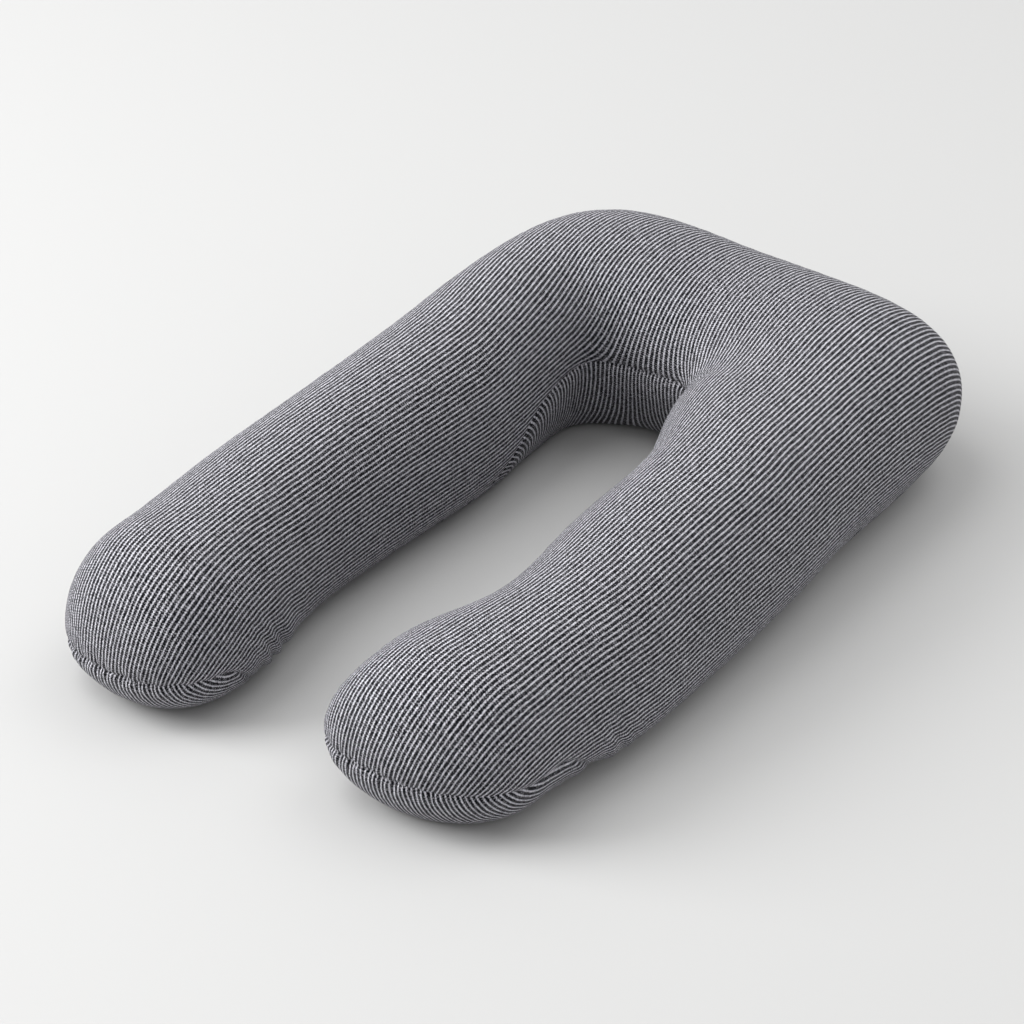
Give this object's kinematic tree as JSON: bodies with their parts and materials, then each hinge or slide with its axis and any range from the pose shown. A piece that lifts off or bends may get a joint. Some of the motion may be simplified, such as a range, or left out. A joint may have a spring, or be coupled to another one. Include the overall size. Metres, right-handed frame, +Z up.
{
  "type": "body pillow",
  "caption": "U-shaped body pillow in finely striped cloth: long round legs run into a full crossbar, with a seam all round the edge and an open space for the sleeper.",
  "frame": {"origin": "middle of the pillow's box, on the surface that it lies on; the open space between the legs is over it", "axes": "+X across the legs, +Y from the leg ends towards the crossbar, +Z up"},
  "size_m": [0.8502, 1.3702, 0.3188],
  "materials": {
    "striped_cloth": "soft knit, fine light grey and charcoal stripes, matt"
  },
  "bodies": {
    "root": {"pillow": "striped_cloth"}
  },
  "joints": []
}
